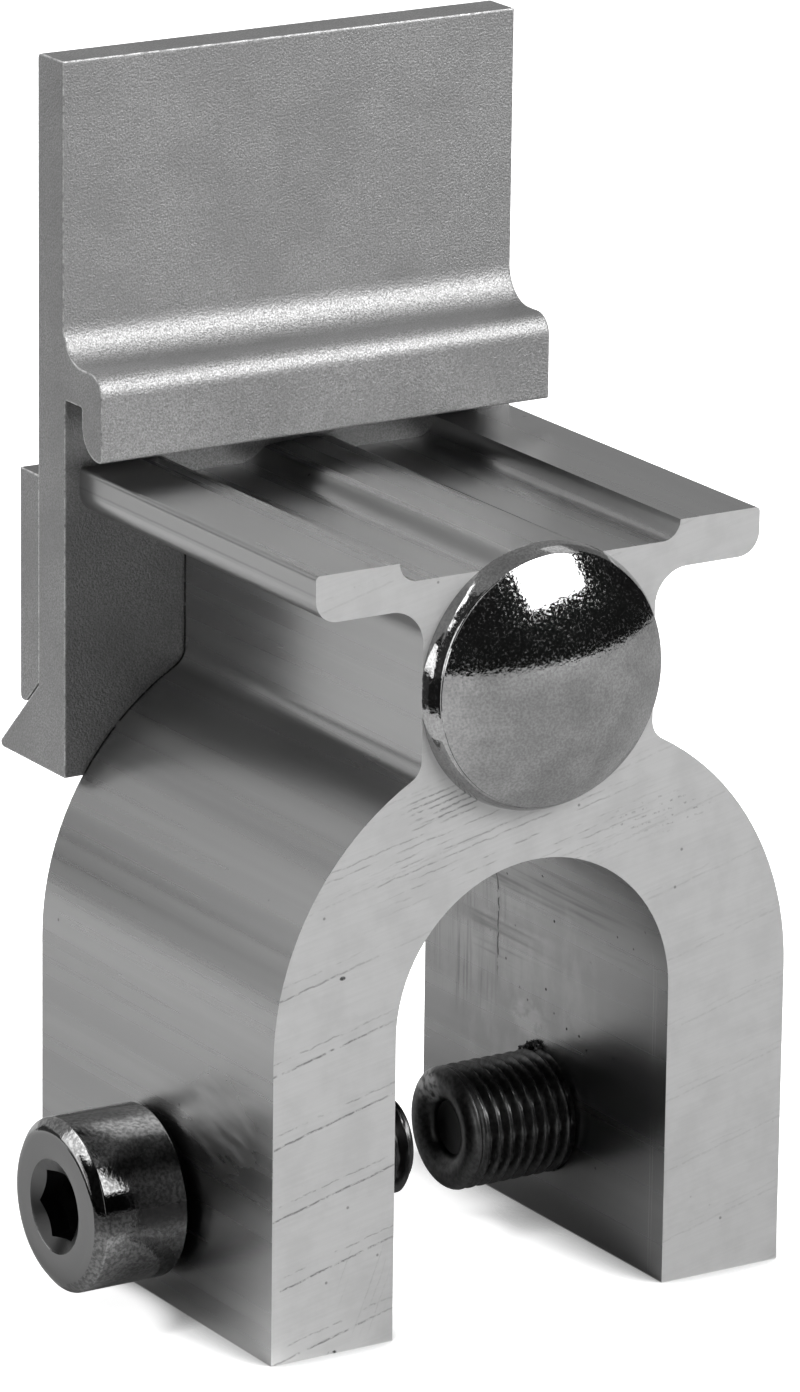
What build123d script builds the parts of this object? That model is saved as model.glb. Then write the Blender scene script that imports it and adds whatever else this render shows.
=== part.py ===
"""Clamp for a round standing seam, with a hooked plate bolted to its back.

X runs across the seam, Y along the seam and Z up. The origin is on the ground between the feet,
in the middle plane of the body and at its mid-length. All sizes are in millimetres.
"""

import os
from math import sqrt

from build123d import *

# Clamp body, one extrusion that is sawn to length
body_length = 41.0
seam_radius = 14.4  # inside of the arch, and half the space between the legs
leg_wall = 12.6
leg_height = 28.4  # straight part of the legs, up to the centre of the arch
neck_width = 24.2
neck_height = 12.25  # crown of the arch to the underside of the table
neck_foot_radius = 2.0
neck_head_radius = 3.3

# Table on top of the neck, with a channel on each side of a low centre rib
table_width = 46.2
table_thickness = 4.35
table_lip_radius = 2.2
table_edge_radius = 0.4
pad_width = 8.5
channel_depth = 1.8  # and the radius of the cove under the edge of the pad
rib_foot_width = 12.4
rib_top_width = 5.3
rib_rise = 1.45  # above the floor of the channels
rib_crown = 0.1

# Hooked plate, behind the body
plate_width = 47.5
plate_shift = -0.9  # its middle stands this far off the middle of the body
plate_thickness = 4.75
plate_setback = 0.3  # how much thinner the plate is above the hook
plate_upstand = 27.45  # above the hook
plate_edge_radius = 0.5
hook_gap = 2.1  # table to the lip of the hook
hook_slot_width = 3.2
hook_slot_depth = 4.45
hook_slot_radius = 0.3
hook_thickness = 3.45
hook_root_radius = 3.4
hook_nose_radius = 2.0
lip_thickness = 3.4
lip_inner_radius = 2.8
lip_edge_radius = 0.2
foot_height = 7.6  # and its reach, as its flank slopes at 45 degrees
foot_tip_radius = 0.4

# Clamping bar, behind the plate, with a chamfer that seats on the flank of the foot
bar_thickness = 3.35
bar_height = 21.95
bar_drop = 11.31  # axis of the bolt to the underside of the bar
bar_chamfer = 2.4
bar_edge_radius = 0.5
foot_clearance = 0.3  # upright, between the chamfer and the flank

# Carriage bolt along Y, with a washer and a nut at the back
bolt_drop = 12.24  # top of the table to the axis of the bolt
bolt_diameter = 10.0
bolt_hole_diameter = 11.0
bolt_head_diameter = 24.5
bolt_head_height = 5.38
bolt_rim_height = 1.83
bolt_rim_bulge = 0.31
bolt_stand_out = 5.9  # end of the bolt beyond the nut
bolt_tip_chamfer = 1.0
square_width = 10.0
square_length = 6.4
square_clearance = 0.1  # on each side of the square and behind it
washer_diameter = 20.0
washer_thickness = 2.0
washer_hole_diameter = 10.5
nut_width = 17.0  # across flats
nut_height = 8.0
nut_chamfer = 0.9

# Both clamping screws lie on one axis across the seam
screw_height = 10.4
thread_clearance = 0.05  # between a thread and its hole, on the radius
hole_chamfer = 0.5
seam_left = -2.1  # where the left screw ends, on one side of the seam's web
seam_right = 3.35  # where the right screw ends, on the other side

# Cap screw, left
cap_thread_diameter = 10.0
cap_head_diameter = 16.0
cap_head_height = 9.7
cap_head_gap = 0.7  # between the head and the leg
cap_face_chamfer = 0.9
cap_seat_chamfer = 0.5
cap_edge_radius = 0.25
cap_tip_chamfer = 0.8
socket_width = 6.1  # across flats
socket_depth = 5.0
socket_rim_diameter = 8.8
socket_rim_angle = 120.0
socket_turn = 20.6

# Set screw, right
set_thread_diameter = 11.6
set_stand_out = 1.35  # beyond the leg
set_end_chamfer = 0.8
set_socket_width = 6.0
set_socket_depth = 7.0
cup_diameter = 8.8
cup_land = 0.2  # width of the ring that meets the seam
cup_depth = 0.9
cup_bore_diameter = 5.8
cup_bore_depth = 2.6
cup_shoulder = 1.0  # length of the rounded shoulder behind the ring
cup_shoulder_bulge = 0.12

# Heights, from the ground up
arch_radius = seam_radius + leg_wall
table_base = leg_height + arch_radius + neck_height
table_top = table_base + table_thickness
bolt_height = table_top - bolt_drop
hook_bottom = table_top + hook_gap
slot_top = hook_bottom + hook_slot_depth
hook_top = slot_top + hook_thickness
plate_top = hook_top + plate_upstand
bar_bottom = bolt_height - bar_drop
foot_root = bar_bottom + bar_chamfer - foot_clearance
plate_bottom = foot_root - foot_height

# Stations along Y, from the front face of the body to the end of the bolt
body_front = -body_length / 2
body_back = body_length / 2
slot_front = body_back - hook_slot_width
lip_front = slot_front - lip_thickness
plate_back = body_back + plate_thickness
bar_back = plate_back + bar_thickness
washer_back = bar_back + washer_thickness
nut_back = washer_back + nut_height
bolt_length = nut_back + bolt_stand_out - body_front

# Stations along X, on the axis of the screws
cap_seat = -arch_radius - cap_head_gap
cap_face = cap_seat - cap_head_height
cap_length = seam_left - cap_seat
set_end = arch_radius + set_stand_out
set_length = set_end - seam_right

# Seats, each with its normal pointing out of the piece that it is on
left_leg = Plane((-arch_radius, 0, screw_height), x_dir=(0, 1, 0), z_dir=(-1, 0, 0))
right_leg = Plane((arch_radius, 0, screw_height), x_dir=(0, 1, 0), z_dir=(1, 0, 0))
cap_end = Plane((cap_face, 0, screw_height), x_dir=(0, 1, 0), z_dir=(-1, 0, 0))
set_outer_end = Plane((set_end, 0, screw_height), x_dir=(0, 1, 0), z_dir=(1, 0, 0))
head_seat = Plane((0, body_front, bolt_height), x_dir=(1, 0, 0), z_dir=(0, -1, 0))
plate_seat = Plane((0, plate_back, bolt_height), x_dir=(1, 0, 0), z_dir=(0, 1, 0))
washer_seat = Plane((0, bar_back, bolt_height), x_dir=(1, 0, 0), z_dir=(0, 1, 0))
nut_seat = Plane((0, washer_back, bolt_height), x_dir=(1, 0, 0), z_dir=(0, 1, 0))

# Half sections of what is turned, each with its first axis along the axis of the piece
bolt_section = Plane((0, body_front, bolt_height), x_dir=(0, 1, 0), z_dir=(1, 0, 0))
cap_section = Plane((cap_seat, 0, screw_height), x_dir=(1, 0, 0), z_dir=(0, -1, 0))
set_section = Plane((seam_right, 0, screw_height), x_dir=(1, 0, 0), z_dir=(0, -1, 0))
bolt_axis = Axis((0, 0, bolt_height), (0, 1, 0))
screw_axis = Axis((0, 0, screw_height), (1, 0, 0))


def corner(sketch, x, y):
    """The corner of a sketch that lies at (x, y)."""
    return sketch.vertices().sort_by_distance((x, y))[0]


# Clamp body: legs, arch, neck and table are one section, extruded along the seam
with BuildPart() as clamp_body:
    with BuildSketch(Plane.XZ) as body_profile:
        with Locations((0, leg_height)):
            Rectangle(neck_width, table_base - leg_height, align=(Align.CENTER, Align.MIN))
        with Locations((0, table_base)):
            Rectangle(table_width, table_thickness, align=(Align.CENTER, Align.MIN))

        # Two doorway shapes: the outside of the legs and arch, then the space for the seam,
        # whose round bulb sits in the arch while its web stands between the legs
        for radius, mode in ((arch_radius, Mode.ADD), (seam_radius, Mode.SUBTRACT)):
            with BuildLine():
                Polyline(
                    (radius, leg_height), (radius, 0), (-radius, 0), (-radius, leg_height)
                )
                CenterArc((0, leg_height), radius, 0, 180)
            make_face(mode=mode)

        neck_foot = leg_height + sqrt(arch_radius**2 - (neck_width / 2) ** 2)
        for side in (-1, 1):
            fillet(corner(body_profile, side * neck_width / 2, neck_foot), neck_foot_radius)
            fillet(corner(body_profile, side * neck_width / 2, table_base), neck_head_radius)
            fillet(corner(body_profile, side * table_width / 2, table_base), table_lip_radius)
            fillet(corner(body_profile, side * table_width / 2, table_top), table_edge_radius)

        # Channels: a cove under each pad, a flat floor and a soft slope up to the crowned rib
        channel_edge = table_width / 2 - pad_width
        channel_floor = table_top - channel_depth
        rib_shoulder = channel_floor + rib_rise
        with BuildLine():
            cove = CenterArc((channel_edge - channel_depth, table_top), channel_depth, 0, -90)
            floor = Line(cove @ 1, (rib_foot_width / 2, channel_floor))
            slope_middle = ((rib_foot_width + rib_top_width) / 4, channel_floor + rib_rise / 2)
            slope_foot = TangentArc(floor @ 1, slope_middle, tangent=floor % 1)
            slope_head = TangentArc(
                slope_foot @ 1, (rib_top_width / 2, rib_shoulder), tangent=slope_foot % 1
            )
            TangentArc((0, rib_shoulder + rib_crown), slope_head @ 1, tangent=(1, 0))
            Line(cove @ 0, (0, table_top))
            mirror(about=Plane.YZ)
        make_face(mode=Mode.SUBTRACT)
    extrude(amount=body_length / 2, both=True)

    # Bolt hole, with a square mouth that keeps the bolt from turning
    with BuildSketch(head_seat):
        Rectangle(square_width + 2 * square_clearance, square_width + 2 * square_clearance)
    extrude(amount=-square_length - square_clearance, mode=Mode.SUBTRACT)
    with Locations(head_seat):
        Hole(bolt_hole_diameter / 2, depth=body_length)

    # Tapped holes for the clamping screws, one through each leg
    for leg, diameter in ((left_leg, cap_thread_diameter), (right_leg, set_thread_diameter)):
        hole_radius = diameter / 2 + thread_clearance
        with Locations(leg):
            CounterSinkHole(
                hole_radius, hole_radius + hole_chamfer, depth=leg_wall, counter_sink_angle=90
            )

clamp_body.part.label = "clamp_body"


# Hooked plate: an extrusion along X that stands behind the body and hooks over its table
with BuildPart() as hooked_plate:
    with BuildSketch(Plane.YZ.offset(plate_shift)) as plate_profile:
        with BuildLine():
            Polyline(
                (body_back, plate_bottom),
                (body_back, slot_top),
                (slot_front, slot_top),
                (slot_front, hook_bottom),
                (lip_front, hook_bottom),
                (lip_front, hook_top),
                (body_back + plate_setback, hook_top),
                (body_back + plate_setback, plate_top),
                (plate_back, plate_top),
                (plate_back, foot_root),
                (plate_back + foot_height, plate_bottom),
                close=True,
            )
        make_face()
        fillet(corner(plate_profile, body_back, slot_top), hook_slot_radius)
        fillet(corner(plate_profile, slot_front, slot_top), hook_slot_radius)
        fillet(corner(plate_profile, slot_front, hook_bottom), lip_inner_radius)
        fillet(corner(plate_profile, lip_front, hook_bottom), lip_edge_radius)
        fillet(corner(plate_profile, lip_front, hook_top), hook_nose_radius)
        fillet(corner(plate_profile, body_back + plate_setback, hook_top), hook_root_radius)
        fillet(corner(plate_profile, plate_back, plate_top), plate_edge_radius)
        fillet(corner(plate_profile, plate_back + foot_height, plate_bottom), foot_tip_radius)
    extrude(amount=plate_width / 2, both=True)
    with Locations(plate_seat):
        Hole(bolt_hole_diameter / 2, depth=plate_thickness)

hooked_plate.part.label = "hooked_plate"


# Clamping bar: flat against the back of the plate, its chamfer over the flank of the foot
with BuildPart() as clamping_bar:
    with BuildSketch(Plane.YZ.offset(plate_shift)) as bar_profile:
        with BuildLine():
            Polyline(
                (plate_back, bar_bottom + bar_chamfer),
                (plate_back + bar_chamfer, bar_bottom),
                (bar_back, bar_bottom),
                (bar_back, bar_bottom + bar_height),
                (plate_back, bar_bottom + bar_height),
                close=True,
            )
        make_face()
        fillet(corner(bar_profile, bar_back, bar_bottom), bar_edge_radius)
    extrude(amount=plate_width / 2, both=True)
    with Locations(washer_seat):
        Hole(bolt_hole_diameter / 2, depth=bar_thickness)

clamping_bar.part.label = "clamping_bar"


# Carriage bolt: a turned head and shank, with a square under the head
with BuildPart() as carriage_bolt:
    dome_radius = bolt_head_diameter / 2 - bolt_rim_bulge
    with BuildSketch(bolt_section):
        with BuildLine():
            dome = TangentArc(
                (-bolt_head_height, 0), (-bolt_rim_height, dome_radius), tangent=(0, 1)
            )
            rim = ThreePointArc(
                dome @ 1, (-bolt_rim_height / 2, bolt_head_diameter / 2), (0, dome_radius)
            )
            Polyline(
                rim @ 1,
                (0, bolt_diameter / 2),
                (bolt_length - bolt_tip_chamfer, bolt_diameter / 2),
                (bolt_length, bolt_diameter / 2 - bolt_tip_chamfer),
                (bolt_length, 0),
                dome @ 0,
            )
        make_face()
    revolve(axis=bolt_axis)
    with BuildSketch(head_seat):
        Rectangle(square_width, square_width)
    extrude(amount=-square_length)

carriage_bolt.part.label = "carriage_bolt"


# Washer under the nut
with BuildPart() as flat_washer:
    with BuildSketch(washer_seat):
        Circle(washer_diameter / 2)
        Circle(washer_hole_diameter / 2, mode=Mode.SUBTRACT)
    extrude(amount=washer_thickness)

flat_washer.part.label = "flat_washer"


# Nut: a turned disc with both rims chamfered, cut to a hexagon and bored
with BuildPart() as hex_nut:
    with BuildSketch(nut_seat):
        Circle(nut_width / sqrt(3))
    extrude(amount=nut_height)
    for end in (0, -1):
        nut_face = hex_nut.faces().sort_by(Axis.Y)[end]
        chamfer(nut_face.edges(), nut_chamfer, angle=30, reference=nut_face)
    with BuildSketch(nut_seat):
        RegularPolygon(nut_width / 2, 6, major_radius=False)
        Circle(bolt_diameter / 2 + thread_clearance, mode=Mode.SUBTRACT)
    extrude(amount=nut_height, mode=Mode.INTERSECT)

hex_nut.part.label = "hex_nut"


# Cap screw: turned, with a hexagon socket sunk through a wide countersink
with BuildPart() as cap_screw:
    cap_radius = cap_head_diameter / 2
    cap_thread_radius = cap_thread_diameter / 2
    with BuildSketch(cap_section) as cap_profile:
        with BuildLine():
            Polyline(
                (-cap_head_height, 0),
                (-cap_head_height, cap_radius - cap_face_chamfer),
                (cap_face_chamfer - cap_head_height, cap_radius),
                (-cap_seat_chamfer, cap_radius),
                (0, cap_radius - cap_seat_chamfer),
                (0, cap_thread_radius),
                (cap_length - cap_tip_chamfer, cap_thread_radius),
                (cap_length, cap_thread_radius - cap_tip_chamfer),
                (cap_length, 0),
                close=True,
            )
        make_face()
        for x in (-cap_seat_chamfer, cap_face_chamfer - cap_head_height):
            fillet(corner(cap_profile, x, cap_radius), cap_edge_radius)
        fillet(
            corner(cap_profile, -cap_head_height, cap_radius - cap_face_chamfer), cap_edge_radius
        )
    revolve(axis=screw_axis)
    with BuildSketch(cap_end):
        RegularPolygon(socket_width / 2, 6, major_radius=False, rotation=socket_turn)
    extrude(amount=-socket_depth, mode=Mode.SUBTRACT)
    with Locations(cap_end):
        CounterSinkHole(
            socket_width / 2,
            socket_rim_diameter / 2,
            depth=socket_depth,
            counter_sink_angle=socket_rim_angle,
        )

cap_screw.part.label = "cap_screw"


# Set screw: turned, with a cup point that meets the seam and a hexagon socket at its outer end
with BuildPart() as set_screw:
    set_radius = set_thread_diameter / 2
    ring_radius = cup_diameter / 2 + cup_land
    with BuildSketch(set_section):
        with BuildLine():
            shoulder = ThreePointArc(
                (0, ring_radius),
                (
                    cup_shoulder / 2 - cup_shoulder_bulge,
                    (ring_radius + set_radius) / 2 + cup_shoulder_bulge,
                ),
                (cup_shoulder, set_radius),
            )
            Polyline(
                shoulder @ 1,
                (set_length - set_end_chamfer, set_radius),
                (set_length, set_radius - set_end_chamfer),
                (set_length, 0),
                (cup_depth + cup_bore_depth, 0),
                (cup_depth + cup_bore_depth, cup_bore_diameter / 2),
                (cup_depth, cup_bore_diameter / 2),
                (0, cup_diameter / 2),
                shoulder @ 0,
            )
        make_face()
    revolve(axis=screw_axis)
    with BuildSketch(set_outer_end):
        RegularPolygon(set_socket_width / 2, 6, major_radius=False)
    extrude(amount=-set_socket_depth, mode=Mode.SUBTRACT)

set_screw.part.label = "set_screw"


os.makedirs("parts", exist_ok=True)
pieces = (
    clamp_body,
    hooked_plate,
    clamping_bar,
    carriage_bolt,
    flat_washer,
    hex_nut,
    cap_screw,
    set_screw,
)
for piece in pieces:
    export_step(piece.part, f"parts/{piece.part.label}.step")
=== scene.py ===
"""Looks of a clamp for a round standing seam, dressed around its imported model.

X runs across the seam, Y along it and Z up, in metres, with the origin on the ground between the
feet. Sizes that are written in millimetres are turned to metres by MM.
"""

from math import cos, radians, sin, tan

import bmesh
import bpy
import numpy as np
from mathutils import Matrix, Vector


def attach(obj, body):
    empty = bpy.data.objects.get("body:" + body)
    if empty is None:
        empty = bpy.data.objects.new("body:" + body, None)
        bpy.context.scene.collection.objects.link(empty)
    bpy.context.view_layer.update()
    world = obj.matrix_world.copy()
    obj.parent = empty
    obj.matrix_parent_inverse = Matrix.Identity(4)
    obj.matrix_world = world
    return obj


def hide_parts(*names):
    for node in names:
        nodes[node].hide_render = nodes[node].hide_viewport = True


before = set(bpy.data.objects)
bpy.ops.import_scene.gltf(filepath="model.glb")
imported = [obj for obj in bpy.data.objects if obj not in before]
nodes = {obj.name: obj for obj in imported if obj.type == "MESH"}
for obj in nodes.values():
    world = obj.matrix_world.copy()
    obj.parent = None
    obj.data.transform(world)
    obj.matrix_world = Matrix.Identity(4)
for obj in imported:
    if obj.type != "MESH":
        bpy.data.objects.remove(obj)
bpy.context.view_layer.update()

MM = 0.001


# Camera: a long lens, a little above the clamp and to the left of its sawn front. It stands
# 0.74 m away, so that parallel edges stay nearly parallel.
camera_data = bpy.data.cameras.new("camera")
camera_data.sensor_width = 36
camera_data.lens = 212.886
camera_data.clip_start = 0.01
camera_place = (-0.37858, -0.60144, 0.26682)
camera_bearing, camera_fall, camera_roll = -32.0805, 16.7848, 0.7125  # degrees
camera = bpy.data.objects.new("camera", camera_data)
camera.matrix_world = (
    Matrix.Translation(camera_place)
    @ Matrix.Rotation(radians(camera_bearing), 4, "Z")
    @ Matrix.Rotation(radians(90 - camera_fall), 4, "X")
    @ Matrix.Rotation(radians(camera_roll), 4, "Z")
)
bpy.context.scene.collection.objects.link(camera)
bpy.context.scene.camera = camera
bpy.context.scene.view_settings.view_transform = "Standard"


# Floor: a round sheet in matt, nearly white paint that runs out of sight. The camera and metal
# also see it glow, so that it is white wherever no shadow lies on it.
def add_node(tree, kind, inputs=(), **settings):
    """Adds a node of a kind to a tree, with its settings. Each input, by name or number, is given
    a value or the socket that it is linked to."""
    node = tree.nodes.new(kind)
    for name, value in settings.items():
        setattr(node, name, value)
    for key, value in dict(inputs).items():
        if isinstance(value, bpy.types.NodeSocket):
            tree.links.new(value, node.inputs[key])
        else:
            node.inputs[key].default_value = value
    return node


def linear(hex_colour):
    """An sRGB hex colour as linear RGB and alpha: x / 12.92 at the dark end, and elsewhere
    ((x + 0.055) / 1.055) to the power 2.4."""
    srgb = np.array([int(hex_colour[i:i + 2], 16) for i in (1, 3, 5)]) / 255
    low = srgb <= 0.04045
    return (*np.where(low, srgb / 12.92, ((srgb + 0.055) / 1.055) ** 2.4).tolist(), 1.0)


def new_material(name):
    """An empty node material, its tree and its output node."""
    material = bpy.data.materials.new(name)
    material.use_nodes = True
    material.node_tree.nodes.clear()
    output = material.node_tree.nodes.new("ShaderNodeOutputMaterial")
    return material, material.node_tree, output


def add_mesh(name, points, faces, material, smooth=True):
    """A mesh object at the origin, from points in metres and faces as rows of point numbers."""
    mesh = bpy.data.meshes.new(name)
    mesh.from_pydata(np.asarray(points, float).tolist(), [], [list(face) for face in faces])
    mesh.polygons.foreach_set("use_smooth", np.full(len(mesh.polygons), smooth))
    mesh.materials.append(material)
    piece = bpy.data.objects.new(name, mesh)
    bpy.context.scene.collection.objects.link(piece)
    return piece


def strongest(tree, *marks):
    """The largest of any number of marks, so that crossing marks don't add up."""
    total = marks[0]
    for mark in marks[1:]:
        total = add_node(
            tree, "ShaderNodeMath", {0: total, 1: mark}, operation="MAXIMUM"
        ).outputs[0]
    return total


def seen_directly(tree):
    """1 for a ray from the camera, off metal or through glass, and 0 for a ray off a dull face."""
    path = add_node(tree, "ShaderNodeLightPath")
    rays = ("Is Camera Ray", "Is Glossy Ray", "Is Transmission Ray")
    return strongest(tree, *(path.outputs[ray] for ray in rays))


def ring_points(radius, height):
    """96 points on a level circle, counterclockwise from +X."""
    angle = np.linspace(0, 2 * np.pi, 96, endpoint=False)
    return np.stack(
        [radius * np.cos(angle), radius * np.sin(angle), np.full(len(angle), height)], axis=1
    )


def soft_range(tree, value, start, end):
    """0 at the start value and beyond it, 1 at the end value, with a soft step between."""
    return add_node(
        tree, "ShaderNodeMapRange", {"Value": value, "From Min": start, "From Max": end},
        interpolation_type="SMOOTHSTEP",
    ).outputs[0]


def turned_mm(tree, place, turn, shift=(0, 0, 0)):
    """The place in millimetres on axes turned by angles in degrees about X, Y and Z."""
    return add_node(
        tree, "ShaderNodeMapping",
        {
            "Vector": place, "Rotation": [radians(a) for a in turn], "Scale": (1000, 1000, 1000),
            "Location": shift,
        },
    ).outputs[0]


def patch(tree, place, middle, reach):
    """1 inside an ellipsoid with its middle and half axes in millimetres, 0 outside, softly."""
    centred = add_node(
        tree, "ShaderNodeVectorMath", {0: turned_mm(tree, place, (0, 0, 0)), 1: middle},
        operation="SUBTRACT",
    )
    scaled = add_node(
        tree, "ShaderNodeVectorMath", {0: centred.outputs[0], 1: reach}, operation="DIVIDE"
    )
    length = add_node(
        tree, "ShaderNodeVectorMath", {0: scaled.outputs[0]}, operation="LENGTH"
    ).outputs["Value"]
    return soft_range(tree, length, 1.1, 0.6)


floor_paint, tree, output = new_material("pale_painted_floor")
spot = add_node(tree, "ShaderNodeTexCoord").outputs["Object"]
# The corner between floor and feet is shaded over 6 mm, but not the floor below the screws
shade_reach = 6 * MM
corners = add_node(tree, "ShaderNodeAmbientOcclusion", {"Distance": shade_reach}, samples=8)
shade = add_node(tree, "ShaderNodeMath", {0: corners.outputs["AO"], 1: 1.5}, operation="POWER")
below_cap_screw = patch(tree, spot, (-36, 0, 0), (10, 14, 10))
below_screw_ends = patch(tree, spot, (1.5, 0, 0), (11, 14, 10))
open_level = strongest(tree, shade.outputs[0], below_cap_screw, below_screw_ends)
pale = add_node(
    tree, "ShaderNodeVectorMath", {0: linear("#e6e6e6")[:3], "Scale": open_level},
    operation="SCALE",
)
paint = add_node(tree, "ShaderNodeBsdfDiffuse", {"Color": pale.outputs[0]})
glow_level = add_node(tree, "ShaderNodeMath", {0: open_level, 1: 0.9}, operation="MULTIPLY")
glow = add_node(tree, "ShaderNodeEmission", {"Strength": glow_level.outputs[0]})
shown = add_node(tree, "ShaderNodeMixShader", {0: seen_directly(tree), 2: glow.outputs[0]})
lit = add_node(tree, "ShaderNodeAddShader", {0: paint.outputs[0], 1: shown.outputs[0]})
tree.links.new(lit.outputs[0], output.inputs["Surface"])
floor_radius = 6.0
floor_edge = ring_points(floor_radius, 0.0)
floor = add_mesh("floor", floor_edge, [range(len(floor_edge))], floor_paint, smooth=False)


# Light: a grey table and a tent of soft cloth stand around the clamp, and only metal sees them.
# The tent is dark at the front right, where a large softbox shines in, as its mirror image on
# the bolt's head shows. A second softbox hangs above.
world = bpy.data.worlds.new("studio")
bpy.context.scene.world = world
world.use_nodes = True
sky = world.node_tree
sky.nodes.clear()
light_on_dull = 0.45  # where 1 is the white that the camera and metal see
level = add_node(
    sky, "ShaderNodeMath", {0: seen_directly(sky), 1: 1 - light_on_dull, 2: light_on_dull},
    operation="MULTIPLY_ADD",
)
air = add_node(sky, "ShaderNodeBackground", {"Color": (1, 1, 1, 1), "Strength": level.outputs[0]})
add_node(sky, "ShaderNodeOutputWorld", {"Surface": air.outputs[0]})


def add_panel(name, points, material):
    """A flat panel that only metal sees, with its corners in order."""
    panel = add_mesh(name, points, [range(len(points))], material, smooth=False)
    for kind_of_ray in ("camera", "diffuse", "transmission", "shadow", "volume_scatter"):
        setattr(panel, f"visible_{kind_of_ray}", False)


def add_cloth(name, points, brightness):
    """A panel of cloth with light behind it, evenly bright, where 1 is white."""
    material, cloth_tree, cloth_output = new_material(name)
    cloth = add_node(cloth_tree, "ShaderNodeEmission", {"Strength": brightness})
    cloth_tree.links.new(cloth.outputs[0], cloth_output.inputs["Surface"])
    add_panel(name, points, material)


def direction(bearing, rise):
    """A unit vector at a bearing, counted from -Y towards +X, and a rise, both in degrees."""
    a, e = radians(bearing), radians(rise)
    return np.array([sin(a) * cos(e), -cos(a) * cos(e), sin(e)])


def wall_points(start, end, radius, low, high):
    """Corners of an upright wall between two bearings."""
    return [
        radius * direction(bearing, 0) + (0, 0, height)
        for bearing, height in ((start, low), (end, low), (end, high), (start, high))
    ]


tent_radius = 1.3
tent_height = 1.15
table_reach = 0.85  # towards the camera, where the table ends and the dark floor begins
bearings = np.arange(0, 360, 5)
dark_end = (bearings >= 325) | (bearings <= 110)
reach = np.where(dark_end, table_reach, tent_radius)[:, None]
card_points = reach * np.array([direction(bearing, 0) for bearing in bearings])
card_height = 0.1 * MM
# Matt grey card, lighter towards the back left in two steps: painted light, as from that side.
# Each step has the distances in metres at which it begins and ends, and what it adds.
card_paint, tree, output = new_material("grey_card")
spot = add_node(tree, "ShaderNodeTexCoord").outputs["Object"]
across = add_node(
    tree, "ShaderNodeVectorMath", {0: spot, 1: (-1.0, 0.35, 0)}, operation="DOT_PRODUCT"
)
card_level_with_painted_light = 0.38
for start, end, rise in ((-0.05, 0.05, 0.26), (0.10, 0.18, 0.12)):
    step = add_node(
        tree, "ShaderNodeMapRange",
        {"Value": across.outputs["Value"], "From Min": start, "From Max": end, "To Max": rise},
    )
    card_level_with_painted_light = add_node(
        tree, "ShaderNodeMath", {0: step.outputs[0], 1: card_level_with_painted_light}, operation="ADD"
    ).outputs[0]
# A lighter spot beside the left foot: a painted pool of light
painted_light_beside_foot = patch(tree, spot, (-31, -13, 0), (12, 14, 10))
painted_spot_level = add_node(
    tree, "ShaderNodeMath", {0: painted_light_beside_foot, 1: 0.40, 2: card_level_with_painted_light}, operation="MULTIPLY_ADD"
)
card_shade = add_node(tree, "ShaderNodeBsdfDiffuse", {"Color": painted_spot_level.outputs[0]})
tree.links.new(card_shade.outputs[0], output.inputs["Surface"])
add_panel("table_card", card_points + (0, 0, card_height), card_paint)

# Rows of upright walls: two bearings, brightness, and the lower and upper edge as shares of the
# tent's height. A wall is folded into flat panels of 32 degrees at most.
widest = 32
tent_walls = (
    (-32, 60, 0.02, 0.0, 1.0),
    (60, 90, 0.02, 0.0, 1.0),
    (90, 110, 0.04, 0.0, 1.0),
    (110, 130, 0.26, 0.0, 1.0),
    (130, 160, 0.42, 0.0, 1.0),
    (160, 190, 0.60, 0.0, 1.0),
    (190, 223, 0.12, 0.0, 0.17),
    (190, 223, 0.56, 0.17, 1.0),
    (223, 252, 3.0, 0.06, 1.0),
    (252, 264, 2.8, 0.0, 0.32),
    (252, 264, 0.06, 0.32, 0.72),
    (252, 272, 3.4, 0.72, 1.0),
    (264, 302, 0.06, 0.0, 0.72),
    (272, 302, 0.06, 0.72, 1.0),
    (302, 328, 2.2, 0.0, 0.7),
    (302, 328, 0.06, 0.7, 1.0),
)
for number, (start, end, brightness, low, high) in enumerate(tent_walls):
    for part, bearing in enumerate(np.arange(start, end, widest)):
        corners = wall_points(
            bearing, min(bearing + widest, end), tent_radius * 1.02, low * tent_height,
            high * tent_height,
        )
        add_cloth(f"tent_wall_{number}_{part}", corners, brightness)

# Rows of level cloths, on the table's far parts and under the roof: two bearings, the nearest
# and the farthest reach, height and brightness
far = tent_radius * 1.1
on_card = 0.2 * MM
level_cloths = (
    (-38, 0, table_reach, far, on_card, 0.02),
    (0, 30, table_reach, far, on_card, 0.02),
    (30, 60, table_reach, far, on_card, 0.02),
    (60, 90, table_reach, far, on_card, 0.02),
    (90, 110, table_reach, far, on_card, 0.02),
    (190, 235, 0.34, far, on_card, 0.20),
    (233, 250, 0.13, far, 0.3 * MM, 0.07),
    (250, 284, 0.13, far, on_card, 0.02),
    (284, 318, 0.13, far, on_card, 0.02),
    (50, 88, 0.62, 1.15, 1.08, 1.2),
    (88, 125, 0.62, 1.15, 1.08, 1.2),
    (216, 239, 0.70, 1.34, 1.10, 4.5),
    (239, 262, 0.70, 1.34, 1.10, 4.5),
    (262, 296, 0.60, 1.34, 1.10, 0.06),
    (296, 330, 0.60, 1.34, 1.10, 0.06),
)
for number, (start, end, inner, outer, height, brightness) in enumerate(level_cloths):
    corners = [inner * direction(bearing, 0) for bearing in (start, end)]
    corners += [outer * direction(bearing, 0) for bearing in (end, start)]
    add_cloth(f"level_cloth_{number}", np.array(corners) + (0, 0, height), brightness)
add_cloth("tent_roof", ring_points(far, tent_height), 0.40)


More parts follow.
